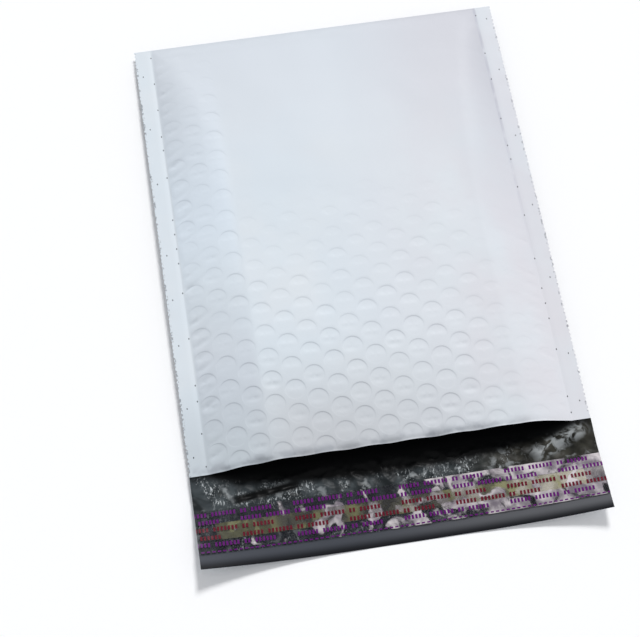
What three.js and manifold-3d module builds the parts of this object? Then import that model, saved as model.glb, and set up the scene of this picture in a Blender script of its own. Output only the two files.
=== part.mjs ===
// Poly bubble mailer: a film envelope lined with bubble film, lying on its back with its flap unfolded.
// x runs across the mailer, y from the flap's end towards the bottom fold, z up. Sizes are in millimetres.
import * as THREE from "three";
import { mergeVertices } from "three/addons/utils/BufferGeometryUtils.js";
import Module from "manifold-3d";

const wasm = await Module();
wasm.setup();
const { clamp, lerp, smoothstep } = THREE.MathUtils;

// The envelope, cut from one web of film
const BODY_WIDTH = 200; // over both side seals
const BODY_LENGTH = 250; // from the mouth to the bottom fold
const FLAP_LENGTH = 48; // from the mouth to the flap's end
const SEAL_WIDTH = 9.5; // side seal, where both panels are welded
const CREASE_WIDTH = 1.5; // bottom fold, where both panels are pressed together
const FILM = 0.12; // film thickness

// How the envelope lies and how far it is puffed out
const SEAL_HEIGHT = 4.5; // side seals above the table, halfway along
const CORNER_DROP = 1.5; // how much lower the seals lie at the corners
const PUFF = 9; // rise of the front panel above the seals
const MOUTH_SAG = 1; // how much lower the front panel is at the mouth
const MOUTH_REACH = 70; // length over which the front panel sags to the mouth
const LEFT_SLOPE = 33; // from the left seal up to the flat of the front panel
const RIGHT_SLOPE = 24; // from the right seal up to the flat of the front panel
const FOLD_SLOPE = 110; // from the bottom fold up to the flat of the front panel
const CORNER_SLOPE = 10; // width of the slopes along the side seals, where they reach the bottom fold
const BACK_SLOPE = 16; // from the seals and the fold down to the table
const SLOPE_POWER = 1.25; // of the side slopes: a straight slope is 1, and more rounds its shoulder
const FOLD_POWER = 2; // of the slope up from the bottom fold

// The flap's lie
const FLAP_SETTLE = 20; // length over which the flap leaves the mouth's shape
const FLAP_HUMP = 1.8; // rise of the flap's middle off the table
const LEFT_CURL = 8; // rise of the flap's left corner
const RIGHT_CURL = 7; // rise of the flap's right corner

// The bubble lining
const BUBBLE_DIAMETER = 10;
const BUBBLE_PITCH = 12.4; // between the centres of neighbours in the hexagonal pattern
const BUBBLE_SIDES = 8;
const RELIEF = 0.5; // how far the film stands up between the round tops of the bubbles
const RELIEF_FULL = 85; // length from the mouth, along the left seal, in which it does so in full
const RELIEF_FADE = 85; // length after that in which the tops stop showing
const RELIEF_SKEW = 0.4; // how much sooner they fade for each millimetre from the left seal
const LIP_CUT = 3.2; // how far the mouth cuts into the first row of cells
const LINING = 2.4; // thickness of one layer of bubble film
const LINING_CLEARANCE = 0.6; // between the lining and the film
const LINING_INSET = 8; // from the seals and the fold to the lining's edge
const LINING_BAND = 3; // edge band in which both layers are joined
const LIP_INSET = 2; // from the mouth to the lining's edge
const POCKET_PARTING = 0.4; // least height of the pocket between the layers

// The closure on the flap
const LINER_WIDTH = 22;
const LINER_MARGIN = 7.5; // bare film between the release liner and the flap's end
const LINER = 0.08; // release liner's thickness
const ADHESIVE_WIDTH = 8.5;
const ADHESIVE = 0.12; // adhesive's thickness
const LAYER_GAP = 0.1; // between the flap, the adhesive and the liner

// Sizes that follow from these
const halfWidth = BODY_WIDTH / 2;
const panelHalf = halfWidth - SEAL_WIDTH;
const panelEnd = BODY_LENGTH - CREASE_WIDTH;
const columns = Math.round((2 * panelHalf) / (BUBBLE_PITCH * Math.cos(Math.PI / 6)));
const columnWidth = (2 * panelHalf) / columns;
const rows = Math.round(panelEnd / BUBBLE_PITCH);
const halfRow = panelEnd / rows / 2;
const linerStart = FLAP_LENGTH - LINER_MARGIN - LINER_WIDTH;
const linerEnd = FLAP_LENGTH - LINER_MARGIN;
const adhesiveStart = (linerStart + linerEnd - ADHESIVE_WIDTH) / 2;
const adhesiveEnd = adhesiveStart + ADHESIVE_WIDTH;

// Heights over the plan, where y is 0 at the mouth and negative on the flap.

// 0 at an edge, rising to 1 at the given reach from it.
function ramp(distance, reach, power = SLOPE_POWER) {
  return 1 - Math.max(0, 1 - Math.max(0, distance) / reach) ** power;
}

// The plane in which the two panels meet, along the seals and the fold.
function borderHeight(y) {
  return SEAL_HEIGHT - CORNER_DROP * ((2 * y) / BODY_LENGTH - 1) ** 2;
}

// Inside of the front panel.
function frontHeight(x, y) {
  const along = ramp(panelEnd - y, FOLD_SLOPE, FOLD_POWER);
  const left = ramp(panelHalf + x, lerp(CORNER_SLOPE, LEFT_SLOPE, along));
  const right = ramp(panelHalf - x, lerp(CORNER_SLOPE, RIGHT_SLOPE, along));
  const across = Math.min(left, right);
  const crest = PUFF - MOUTH_SAG * (1 - ramp(y, MOUTH_REACH));
  return borderHeight(y) + crest * across * along;
}

// Inside of the back panel.
function backHeight(x, y) {
  const down = ramp(panelHalf - Math.abs(x), BACK_SLOPE) * ramp(panelEnd - y, BACK_SLOPE);
  return lerp(borderHeight(y), FILM, down);
}

// Inside of the flap, which carries on from the back panel.
function flapHeight(x, y) {
  const along = -y / FLAP_LENGTH;
  const curl = (x < 0 ? LEFT_CURL : RIGHT_CURL) * Math.abs(x / halfWidth) ** 3;
  const free = FILM + FLAP_HUMP * Math.sin(Math.PI * along) + curl * along ** 2;
  return lerp(free, backHeight(x, 0), smoothstep(y, -FLAP_SETTLE, 0));
}

function backFilmHeight(x, y) {
  return y < 0 ? flapHeight(x, y) : backHeight(x, y);
}

// How far the film stands up between bubbles at this place: most at the mouth, least at the far right.
function reliefHeight(x, y) {
  const faded = y + RELIEF_SKEW * (x + panelHalf) - RELIEF_FULL;
  return RELIEF * clamp(1 - faded / RELIEF_FADE, 0, 1);
}

// Plans: lists of triangles seen from above, whose corners hold x, y and a lift above the surface.

function point(x, y, lift = 0) {
  return new THREE.Vector3(x, y, lift);
}

// Triangles between two lines that both run in +y, the first on the left.
function zip(left, right) {
  const triangles = [];
  let i = 0;
  let j = 0;
  while (i < left.length - 1 || j < right.length - 1) {
    const leftNext = i < left.length - 1 ? left[i + 1].y : Infinity;
    const rightNext = j < right.length - 1 ? right[j + 1].y : Infinity;
    if (leftNext <= rightNext) {
      triangles.push([left[i], right[j], left[i + 1]]);
      i += 1;
    } else {
      triangles.push([left[i], right[j], right[j + 1]]);
      j += 1;
    }
  }
  return triangles;
}

// Triangles across a row of lines, from left to right.
function weave(lines) {
  return lines.slice(1).flatMap((line, i) => zip(lines[i], line));
}

// A rectangle of plan, as lines at the given x and points at the given y.
function grid(xs, ys) {
  return weave(xs.map((x) => ys.map((y) => point(x, y))));
}

function spread(from, to, steps) {
  return Array.from({ length: steps + 1 }, (_, i) => lerp(from, to, i / steps));
}

const stations = spread(-panelHalf, panelHalf, columns);
const cornerRows = spread(0, panelEnd, 2 * rows).map((y) => y - LIP_CUT);
const seamRows = [0, ...cornerRows.slice(1), panelEnd];
const edgeRows = spread(0, BODY_LENGTH, rows);

// Line k of the front panel, with the film's relief or without it. Between the bubbles on its two sides
// it zigzags, so that the cells around them are regular hexagons.
function panelLine(k, relief = () => 0) {
  const zigzag = columnWidth / 6;
  const inside = (n, last) => n > 0 && n < last;
  const line = seamRows.map((y, j) => {
    if (!inside(k, columns) || !inside(j, 2 * rows + 1)) return point(stations[k], y);
    const x = stations[k] + ((j + k) % 2 ? zigzag : -zigzag);
    return point(x, y, relief(x, y));
  });
  return [...line, point(stations[k], BODY_LENGTH)];
}

const seamLine = (k) => panelLine(k);
const edgeLine = (x) => edgeRows.map((y) => point(x, y));
const leftSeal = zip(edgeLine(-halfWidth), seamLine(0));
const rightSeal = zip(seamLine(columns), edgeLine(halfWidth));

// A six-sided cell that dips to the bubble's round flat top.
function bubbleCell(outline, centre) {
  const sides = outline.length;
  const radius = BUBBLE_DIAMETER / 2;
  const firstCorner = (4 / 3) * Math.PI;
  const crown = spread(firstCorner, firstCorner + 2 * Math.PI, BUBBLE_SIDES).map((angle) =>
    point(centre.x + radius * Math.cos(angle), centre.y + radius * Math.sin(angle)),
  );
  const triangles = [];
  let m = 0;
  let n = 0;
  while (m < sides || n < BUBBLE_SIDES) {
    if ((m + 1) / sides <= (n + 1) / BUBBLE_SIDES) {
      triangles.push([outline[m % sides], outline[(m + 1) % sides], crown[n % BUBBLE_SIDES]]);
      m += 1;
    } else {
      triangles.push([outline[m % sides], crown[(n + 1) % BUBBLE_SIDES], crown[n]]);
      n += 1;
    }
  }
  for (let i = 1; i < BUBBLE_SIDES - 1; i += 1) triangles.push([crown[0], crown[i], crown[i + 1]]);
  return triangles;
}

// One column of bubbles between two lines, from the first that the mouth doesn't cut. Every other column
// starts half a row later.
function bubbleColumn(k) {
  const left = panelLine(k, reliefHeight);
  const right = panelLine(k + 1, reliefHeight);
  const triangles = [];
  let j = (k % 2) + 1;
  triangles.push(...zip(left.slice(0, j + 1), right.slice(0, j + 1)));
  for (; j + 2 <= 2 * rows; j += 2) {
    const centre = point((stations[k] + stations[k + 1]) / 2, seamRows[j + 1]);
    const outline = [left[j], right[j], right[j + 1], right[j + 2], left[j + 2], left[j + 1]];
    const shows = reliefHeight(centre.x, centre.y) > FILM;
    if (shows) triangles.push(...bubbleCell(outline, centre));
    else triangles.push(...zip(left.slice(j, j + 3), right.slice(j, j + 3)));
  }
  triangles.push(...zip(left.slice(j), right.slice(j)));
  return triangles;
}

// A closed sheet between an upper and a lower surface whose plans have the same outline.
function sheet(upperPlan, upperHeight, lowerPlan, lowerHeight) {
  const corners = [];
  const place = (p, height) => corners.push(p.x, p.y, height(p.x, p.y) + p.z);
  const key = (p) => `${p.x.toFixed(4)},${p.y.toFixed(4)}`;
  const edges = new Map();
  for (const triangle of upperPlan) {
    triangle.forEach((p, i) => {
      const q = triangle[(i + 1) % 3];
      place(p, upperHeight);
      edges.set(`${key(p)};${key(q)}`, [p, q]);
    });
  }
  for (const [a, b, c] of lowerPlan) [a, c, b].forEach((p) => place(p, lowerHeight));
  for (const [p, q] of edges.values()) {
    if (edges.has(`${key(q)};${key(p)}`)) continue;
    [p, q].forEach((corner) => place(corner, lowerHeight));
    place(q, upperHeight);
    place(p, lowerHeight);
    [q, p].forEach((corner) => place(corner, upperHeight));
  }
  const positions = new THREE.Float32BufferAttribute(corners, 3);
  return mergeVertices(new THREE.BufferGeometry().setAttribute("position", positions));
}

// A sheet of even thickness that lies over a surface.
function layer(plan, height, thickness) {
  return sheet(plan, (x, y) => height(x, y) + thickness, plan, height);
}

function toSolid(geometry) {
  const vertProperties = geometry.getAttribute("position").array;
  const triVerts = new Uint32Array(geometry.index.array);
  return new wasm.Manifold(new wasm.Mesh({ numProp: 3, vertProperties, triVerts }));
}

// Two sheets that meet in a common border, as one piece.
function weld(first, second) {
  const { vertProperties, triVerts } = toSolid(first).add(toSolid(second)).getMesh();
  const geometry = new THREE.BufferGeometry();
  geometry.setAttribute("position", new THREE.BufferAttribute(vertProperties, 3));
  geometry.setIndex(new THREE.BufferAttribute(triVerts, 1));
  return geometry;
}

// Sub-parts

const flapXs = [-halfWidth, ...stations, halfWidth];
const flapYs = [
  -FLAP_LENGTH,
  -linerEnd,
  -adhesiveEnd,
  -adhesiveStart,
  -linerStart,
  -linerStart / 2,
  0,
];

// The envelope: front panel with its bubbles, back panel and flap, welded along the seals and the fold.
function outerFilm() {
  const smoothPlan = [...leftSeal, ...weave(stations.map((_, k) => panelLine(k))), ...rightSeal];
  const bubblePlan = stations.slice(1).flatMap((_, k) => bubbleColumn(k));
  const frontPlan = [...leftSeal, ...bubblePlan, ...rightSeal];
  const front = sheet(frontPlan, (x, y) => frontHeight(x, y) + FILM, smoothPlan, frontHeight);

  const backYs = [
    ...spread(0, panelEnd - BACK_SLOPE, Math.round(rows / 3)),
    panelEnd - BACK_SLOPE / 2,
    panelEnd,
    BODY_LENGTH,
  ];
  const backLines = stations.slice(1, -1).map((x) => backYs.map((y) => point(x, y)));
  const backPlan = weave([seamLine(0), ...backLines, seamLine(columns)]);
  const webPlan = [...leftSeal, ...backPlan, ...rightSeal, ...grid(flapXs, flapYs)];
  const back = layer(webPlan, (x, y) => backFilmHeight(x, y) - FILM, FILM);
  return weld(front, back);
}

// The lining: two layers of bubble film around the pocket, joined in a band along their edges.
function bubbleLining() {
  const edgeX = panelHalf - LINING_INSET;
  const edgeY = panelEnd - LINING_INSET;
  const bandX = edgeX - LINING_BAND;
  const bandY = edgeY - LINING_BAND;
  const inner = stations.filter((x) => Math.abs(x) < bandX - LINING_BAND);
  const xs = [-edgeX, -bandX, ...inner, bandX, edgeX];
  const ys = [...spread(LIP_INSET, bandY, rows), edgeY];
  const plan = grid(xs, ys);
  const top = (x, y) => frontHeight(x, y) - LINING_CLEARANCE;
  const bottom = (x, y) => backHeight(x, y) + LINING_CLEARANCE;
  const middle = (x, y) => (top(x, y) + bottom(x, y)) / 2;
  const halfPocket = (x, y) => {
    const joined = Math.abs(x) >= bandX || y >= bandY;
    const room = top(x, y) - bottom(x, y) - 2 * LINING;
    return joined ? 0 : Math.max(room, POCKET_PARTING) / 2;
  };
  const pocketTop = (x, y) => middle(x, y) + halfPocket(x, y);
  const pocketFloor = (x, y) => middle(x, y) - halfPocket(x, y);
  return weld(sheet(plan, top, plan, pocketTop), sheet(plan, pocketFloor, plan, bottom));
}

// The hot-melt band across the flap, between the side seals.
function adhesiveStrip() {
  const plan = grid(stations, [-adhesiveEnd, -adhesiveStart]);
  return layer(plan, (x, y) => flapHeight(x, y) + LAYER_GAP, ADHESIVE);
}

// The peel-off film over the adhesive, from edge to edge of the flap.
function releaseLiner() {
  const plan = grid(flapXs, [-linerEnd, -adhesiveEnd, -adhesiveStart, -linerStart]);
  return layer(plan, (x, y) => flapHeight(x, y) + 2 * LAYER_GAP + ADHESIVE, LINER);
}

function part(name, geometry, color, roughness) {
  const material = new THREE.MeshStandardMaterial({ color, roughness, metalness: 0 });
  const mesh = new THREE.Mesh(geometry, material);
  mesh.name = name;
  return mesh;
}

const mailer = new THREE.Group();
mailer.add(
  part("outer_film", outerFilm(), 0xdfe5ec, 0.35),
  part("bubble_lining", bubbleLining(), 0xc4cbd2, 0.25),
  part("adhesive_strip", adhesiveStrip(), 0x8f8e5a, 0.3),
  part("release_liner", releaseLiner(), 0x9a8fa6, 0.15),
);
mailer.position.y = (FLAP_LENGTH - BODY_LENGTH) / 2;

export default mailer;
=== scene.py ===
# Looks of a padded film mailer that lies on its back with its flap unfolded.
import math
import random
from collections import namedtuple
from functools import partial

import bmesh
import bpy
from mathutils import Matrix, Vector, noise


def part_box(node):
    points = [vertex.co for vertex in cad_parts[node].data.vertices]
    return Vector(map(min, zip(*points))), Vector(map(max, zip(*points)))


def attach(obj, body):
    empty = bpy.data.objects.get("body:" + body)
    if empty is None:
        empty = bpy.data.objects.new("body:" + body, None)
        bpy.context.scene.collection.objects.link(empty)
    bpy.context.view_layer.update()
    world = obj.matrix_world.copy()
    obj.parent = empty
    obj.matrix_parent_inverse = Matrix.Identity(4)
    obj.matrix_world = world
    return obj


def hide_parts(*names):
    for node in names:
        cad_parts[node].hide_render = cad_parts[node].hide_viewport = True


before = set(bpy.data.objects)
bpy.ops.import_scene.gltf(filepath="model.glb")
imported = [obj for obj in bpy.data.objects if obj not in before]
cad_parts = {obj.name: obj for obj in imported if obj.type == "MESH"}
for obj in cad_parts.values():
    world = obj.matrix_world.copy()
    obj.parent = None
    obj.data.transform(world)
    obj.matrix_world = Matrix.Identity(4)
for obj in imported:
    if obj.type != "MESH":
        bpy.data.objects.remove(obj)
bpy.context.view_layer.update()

MM = 0.001

# Sizes as in the part's source, in millimetres. Plan y is 0 at the mouth and negative on the flap.
film_low, film_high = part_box("outer_film")
liner_low, liner_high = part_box("release_liner")
FLAP_LENGTH = 48
SEAL_WIDTH = 9.5
CREASE_WIDTH = 1.5
FILM = 0.12
BODY_WIDTH = round((film_high.x - film_low.x) / MM, 2)
BODY_LENGTH = round((film_high.y - film_low.y) / MM, 2) - FLAP_LENGTH
PLAN_SHIFT = film_low.y / MM + FLAP_LENGTH

SEAL_HEIGHT = 4.5
CORNER_DROP = 1.5
PUFF = 9
MOUTH_SAG = 1
MOUTH_REACH = 70
LEFT_SLOPE = 33
RIGHT_SLOPE = 24
FOLD_SLOPE = 110
CORNER_SLOPE = 10
BACK_SLOPE = 16
SLOPE_POWER = 1.25
FOLD_POWER = 2

FLAP_SETTLE = 20
FLAP_HUMP = 1.8
LEFT_CURL = 8
RIGHT_CURL = 7

BUBBLE_PITCH = 12.4
LIP_CUT = 3.2
LINING = 2.4
LINING_CLEARANCE = 0.6
LINING_INSET = 8
POCKET_PARTING = 0.4

LINER = 0.08
LINER_START = PLAN_SHIFT - liner_high.y / MM
LINER_END = PLAN_SHIFT - liner_low.y / MM
ADHESIVE_WIDTH = 8.5
ADHESIVE = 0.12
LAYER_GAP = 0.1

HALF_WIDTH = BODY_WIDTH / 2
PANEL_HALF = HALF_WIDTH - SEAL_WIDTH
PANEL_END = BODY_LENGTH - CREASE_WIDTH
COLUMNS = round(2 * PANEL_HALF / (BUBBLE_PITCH * math.cos(math.pi / 6)))
COLUMN_WIDTH = 2 * PANEL_HALF / COLUMNS
ROWS = round(PANEL_END / BUBBLE_PITCH)
HALF_ROW = PANEL_END / ROWS / 2
ADHESIVE_START = (LINER_START + LINER_END - ADHESIVE_WIDTH) / 2
ADHESIVE_END = ADHESIVE_START + ADHESIVE_WIDTH

# Film detail that the solids leave out. A pair called _X or _Y is a stretch of the plan.
# A wave is a height, a size and the layer of noise that it takes.
RELIEF = 0.34  # how far the film stands up between the bubbles' tops
RELIEF_EDGE = 2.5  # from the panel's edges to where it is in full
SHOW_FULL = 45  # length from the mouth where the bubbles show in full
SHOW_FADE = 105  # and, after it, where they fade
SHOW_LOSS = 0.72  # share that they lose towards the right seal
SHOW_LOSS_X = (30, 75)
SLOPE_SHOW = 0.8  # how far they show on the slope beside the left seal
SLOPE_FULL = 140
SLOPE_FADE = 120
SLOPE_X = (-64, -56)
SIDE_POWER = 1.45  # how round the side slopes are
FAR_POWER = 2.1  # and towards the bottom fold
FAR_Y = (100, 190)
TOP_RADIUS = 4.85  # of a bubble's round top, to the foot of its wall
WALL = 0.6  # width of that wall
FAINT_WALL = 2.2  # times wider where the bubbles hardly show
WALL_FROM = (0.5, -0.5)  # cosine of the direction where it starts, if faint and if clear
WALL_FULL = 0.95  # and where it has its full height
FOOT_RADIUS = 3.2  # from here a top rises towards its wall
FOOT = 0.25  # share of the rise that comes before the wall
CROWN = 0.25  # how far a top swells back up
PANEL_WAVES = ((0.4, 46, 1.7), (0.12, 17, 5.1))
WAVE_EDGE = 8  # from the panel's edges to where they are in full
PUCKER = 1.5  # depth of the puckers that the seams draw in
PUCKER_LIMIT = 0.6  # the most that they take of the front panel's rise
PUCKER_START = 4  # from the seam to where they are in full
PUCKER_REACH = 5
PUCKER_PITCH = 6.6
PUCKER_SLANT = 0.45
PUCKER_WIDTH = 1.2
PUCKER_MEAN = 0.5
PUCKER_WAVE = (1.1, 10, 3.3)
PUCKER_STRIDE = 37  # from one pucker to the next in that noise
PUCKER_MOUTH = 0.3  # share that the left ones gain towards the mouth
PUCKER_MOUTH_Y = (25, 70)
PUCKER_RIGHT = 0.22  # share that the right ones have
LIP_DROOP = 2.4  # how far the lip hangs down between bubbles
LIP_REACH = 4.5
LIP_LEAST = 0.3  # share of that at the bubbles
LIP_POWER = 1.3
LIP_MEAN = 0.75
LIP_WAVE = (0.5, 30, 7.7)
LIP_LOSS = 0.8  # share that it loses towards the right seal
LIP_LOSS_X = (45, 80)
LIP_EDGE = 14  # from the seams to where it is in full
LIP_FLARE = 0.2  # how far the cut edge of the lip turns up
LIP_FLARE_REACH = 0.5
SLACK = 0.7  # room between the film and the lining
SLACK_SIDE = 4  # from the seams to where it is in full
SLACK_FAR = 30  # from the bottom fold
SLACK_LIP = 5  # from the mouth
LINING_LIP = 3  # from the mouth to the lining's edge
TOOTH = 0.9  # depth of the cut edge's notches
NOTCH = (0.3, 1)  # share of it that a notch has
FRAY = (0, 0.2)  # and the edge between notches
TOOTH_ROWS = 3  # rows of the seals' mesh from one notch to the next
SEAL_WAVE = (0.12, 9, 8.2)
GROOVE = 0.1  # depth of the weld line along each seam
GROOVE_WIDTH = 0.3
GROOVE_END = 3  # from its ends to where it is in full
RIDGE = ((68, -15), (96, -3))  # a broad fold on the right of the flap
RIDGE_WIDTH = 2.6
RIDGE_RISE = 1.1
VALLEY = ((-82, -15), (-46, -10.5))  # a sharp fold on its left
VALLEY_WIDTH = 1.5
VALLEY_DROP = 0.5
FOLD_START = (-0.15, 0.1)  # shares of a fold's length over which it comes in
FOLD_STOP = (0.85, 1.1)  # and goes out
CRINKLES = ((0.7, 12, 0.4), (0.4, 5.5, 6.1), (0.22, 2.6, 9.3))
CRINKLE_STRETCH = 1.3
CRINKLE_SHIFT = 3
CRINKLE_MEAN = 0.4
CRINKLE_START = (2, 8)  # from the mouth to where they are in full
CRINKLE_STOP = (LINER_START - 2.5, LINER_START + 2)
COVERED = (LINER_START - 3, LINER_START + 3)
UNDER_WAVE = (0.12, 9, 3.8)  # of the flap under the liner


def clamp(value, low=0.0, high=1.0):
    return min(max(value, low), high)


def lerp(start, end, share):
    return start + (end - start) * share


def smooth(value, low, high):
    share = clamp((value - low) / (high - low))
    return share * share * (3 - 2 * share)


def bell(value, width):
    return math.exp(-((value / width) ** 2))


def wobble(x, y, size, layer):
    """Smooth noise from -1 to 1 with features of the given size. Each layer is another noise."""
    return noise.noise(Vector((x / size, y / size, layer)))


def wave(kind, x, y):
    height, size, layer = kind
    return height * wobble(x, y, size, layer)


# Heights of the mailer, as in the part's source, with rounder side slopes


def ramp(distance, reach, power=SLOPE_POWER):
    return 1 - max(0, 1 - max(0, distance) / reach) ** power


def border_height(y):
    return SEAL_HEIGHT - CORNER_DROP * (2 * y / BODY_LENGTH - 1) ** 2


def front_height(x, y):
    along = ramp(PANEL_END - y, FOLD_SLOPE, FOLD_POWER)
    power = lerp(SIDE_POWER, FAR_POWER, smooth(y, *FAR_Y))
    left = ramp(PANEL_HALF + x, lerp(CORNER_SLOPE, LEFT_SLOPE, along), power)
    right = ramp(PANEL_HALF - x, lerp(CORNER_SLOPE, RIGHT_SLOPE, along), power)
    across = min(left, right)
    crest = PUFF - MOUTH_SAG * (1 - ramp(y, MOUTH_REACH))
    return border_height(y) + crest * across * along


def back_height(x, y):
    down = ramp(PANEL_HALF - abs(x), BACK_SLOPE) * ramp(PANEL_END - y, BACK_SLOPE)
    return lerp(border_height(y), FILM, down)


def flap_height(x, y):
    along = -y / FLAP_LENGTH
    curl = (LEFT_CURL if x < 0 else RIGHT_CURL) * abs(x / HALF_WIDTH) ** 3
    free = FILM + FLAP_HUMP * math.sin(math.pi * along) + curl * along**2
    return lerp(free, back_height(x, 0), smooth(y, -FLAP_SETTLE, 0))


def shows(x, y):
    """How clearly the bubbles show through the film, from 0 to 1."""
    middle = clamp(1 - (y - SHOW_FULL) / SHOW_FADE) * (1 - SHOW_LOSS * smooth(x, *SHOW_LOSS_X))
    slope = SLOPE_SHOW * clamp(1 - (y - SLOPE_FULL) / SLOPE_FADE) * (1 - smooth(x, *SLOPE_X))
    return max(middle, slope)


# The bubbles, each a little different

Bubble = namedtuple("Bubble", "x y strength near dent dent_x dent_y")
COLUMN_SEED = 1000  # from one column's seeds to the next one's
SHIFT_X = 0.2  # the most that a bubble is off its place
SHIFT_Y = 0.25
STRONGEST = 1.1  # share of the full relief that a bubble has at most
WEAKEST = (0.8, 0.4)  # and at least, near the mouth and further in
WEAKEST_Y = (50, 100)
NEAR = 0.08  # most that the wall on the mouth's side has of its height
NEAR_MOUTH = 0.16  # what it gains close to the mouth
NEAR_MOUTH_Y = (10, 60)
DENT = (-0.15, 0.6)  # depths, of which those below 0 are none
DENT_Y = (35, 80)
DENT_LOSS = 0.75  # share that they lose towards the right seal
DENT_LOSS_X = (40, 70)
SIDE_DENT = 0.5  # share that they have on the left slope
SIDE_DENT_X = (-75, -55)
SIDE_DENT_Y = (205, 230)
DENT_SHIFT_X = 0.8
DENT_SHIFT_Y = (-2.2, -0.6)
DENT_WIDE = 3.4
DENT_LONG = 1.3


def column_centre(k):
    return -PANEL_HALF + (k + 0.5) * COLUMN_WIDTH


def first_row(k):
    """Row of corners that the first bubble of a column is level with."""
    return (k + 1) % 2 + 1


def corner_y(j):
    return PANEL_END if j > 2 * ROWS else j * HALF_ROW - LIP_CUT


def make_bubble(k, n):
    draw = random.Random(COLUMN_SEED * k + n)
    x = column_centre(k)
    j = first_row(k) + 2 * n
    y = corner_y(j)
    by_side = (1 - smooth(x, *SIDE_DENT_X)) * (1 - smooth(y, *SIDE_DENT_Y))
    dented = (1 - smooth(y, *DENT_Y)) * (1 - DENT_LOSS * smooth(x, *DENT_LOSS_X))
    return Bubble(
        x=x + draw.uniform(-SHIFT_X, SHIFT_X),
        y=y if j == 1 else y + draw.uniform(-SHIFT_Y, SHIFT_Y),
        strength=draw.uniform(lerp(*WEAKEST, smooth(y, *WEAKEST_Y)), STRONGEST),
        near=draw.uniform(0, NEAR) + NEAR_MOUTH * (1 - smooth(y, *NEAR_MOUTH_Y)),
        dent=max(0, draw.uniform(*DENT)) * max(dented, SIDE_DENT * by_side),
        dent_x=draw.uniform(-DENT_SHIFT_X, DENT_SHIFT_X),
        dent_y=draw.uniform(*DENT_SHIFT_Y),
    )


def column_count(k):
    return (2 * ROWS - first_row(k) + 1) // 2


BUBBLES = {(k, n): make_bubble(k, n) for k in range(COLUMNS) for n in range(column_count(k))}


def nearest_bubble(x, y):
    here = int((x + PANEL_HALF) / COLUMN_WIDTH)
    found = []
    for k in range(max(0, here - 1), min(COLUMNS, here + 2)):
        n = round(((y + LIP_CUT) / HALF_ROW - first_row(k)) / 2)
        bubble = BUBBLES[k, int(clamp(n, 0, column_count(k) - 1))]
        found.append((math.hypot(x - bubble.x, y - bubble.y), bubble))
    return min(found)


def relief(x, y):
    """Rise of the film over its smooth shape."""
    distance, bubble = nearest_bubble(x, y)
    away = (y - bubble.y) / max(distance, 0.001)
    clear = shows(bubble.x, bubble.y)
    depth = lerp(bubble.near, 1, smooth(away, lerp(*WALL_FROM, clear), WALL_FULL))
    wall = WALL * lerp(FAINT_WALL, 1, clear)
    inside = 1 - smooth(distance, TOP_RADIUS, TOP_RADIUS + wall)
    inside = lerp(inside, 1 - smooth(distance, FOOT_RADIUS, TOP_RADIUS + wall), FOOT)
    crown = CROWN * (1 - min(1, distance / TOP_RADIUS) ** 2)
    sunk = RELIEF * clear * bubble.strength * depth * inside * (1 - crown)
    dent_x = (x - bubble.x - bubble.dent_x) / DENT_WIDE
    dent_y = (y - bubble.y - bubble.dent_y) / DENT_LONG
    dent = bubble.dent * inside * math.exp(-(dent_x**2) - dent_y**2)
    edge = smooth(min(PANEL_HALF - abs(x), PANEL_END - y, y), 0, RELIEF_EDGE)
    return edge * (RELIEF * shows(x, y) - sunk - dent)


# Surfaces of the film


def pucker_reach(x, y):
    """The most that a seam draws the film down here."""
    distance = PANEL_HALF - abs(x)
    left = 1 + PUCKER_MOUTH * (1 - smooth(y, *PUCKER_MOUTH_Y))
    side = left if x < 0 else PUCKER_RIGHT
    depth = PUCKER * side * math.exp(-distance / PUCKER_REACH) * smooth(distance, 0, PUCKER_START)
    return min(depth, PUCKER_LIMIT * (front_height(x, y) - border_height(y)))


def pucker(x, y):
    """Creases that run in from a side seam."""
    along = (y - PUCKER_SLANT * (PANEL_HALF - abs(x))) / PUCKER_PITCH
    nearest = round(along)
    strength = clamp(PUCKER_MEAN + wave(PUCKER_WAVE, PUCKER_STRIDE * nearest, 0))
    return pucker_reach(x, y) * strength * bell((along - nearest) * PUCKER_PITCH, PUCKER_WIDTH)


def lip_droop(x, y):
    """The lip hangs between the bubbles that it cuts, and its cut edge turns up."""
    phase = (x - column_centre(0)) / (2 * COLUMN_WIDTH)
    between = (0.5 + 0.5 * math.cos(math.tau * phase)) ** LIP_POWER
    uneven = LIP_MEAN + wave(LIP_WAVE, x, 0)
    hang = LIP_LEAST + (1 - LIP_LEAST) * between
    hang *= uneven * (1 - LIP_LOSS * smooth(x, *LIP_LOSS_X))
    flare = LIP_FLARE * max(0, 1 - y / LIP_FLARE_REACH)
    return LIP_DROOP * hang * max(0, 1 - y / LIP_REACH) ** 2 - flare


def front_shape(x, y):
    """Inside of the front panel as the film lies, without its puckers."""
    held = smooth(min(PANEL_HALF - abs(x), PANEL_END - y), 0, WAVE_EDGE)
    uneven = sum(wave(kind, x, y) for kind in PANEL_WAVES)
    droop = smooth(PANEL_HALF - abs(x), 0, LIP_EDGE) * lip_droop(x, y)
    return front_height(x, y) + held * uneven - droop


def front_base(x, y):
    return front_shape(x, y) - pucker(x, y)


def front_skin(x, y):
    """Outside of the front panel and of the seals beside it."""
    if abs(x) > PANEL_HALF or y > PANEL_END:
        flutter = wave(SEAL_WAVE, x, y) * smooth(abs(x), PANEL_HALF, HALF_WIDTH)
        ends = smooth(min(y, BODY_LENGTH - y), 0, GROOVE_END)
        groove = GROOVE * ends * bell(abs(x) - PANEL_HALF - SEAL_LINES[0], GROOVE_WIDTH)
        return border_height(y) + FILM + flutter - groove
    return front_base(x, y) + FILM + relief(x, y)


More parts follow.
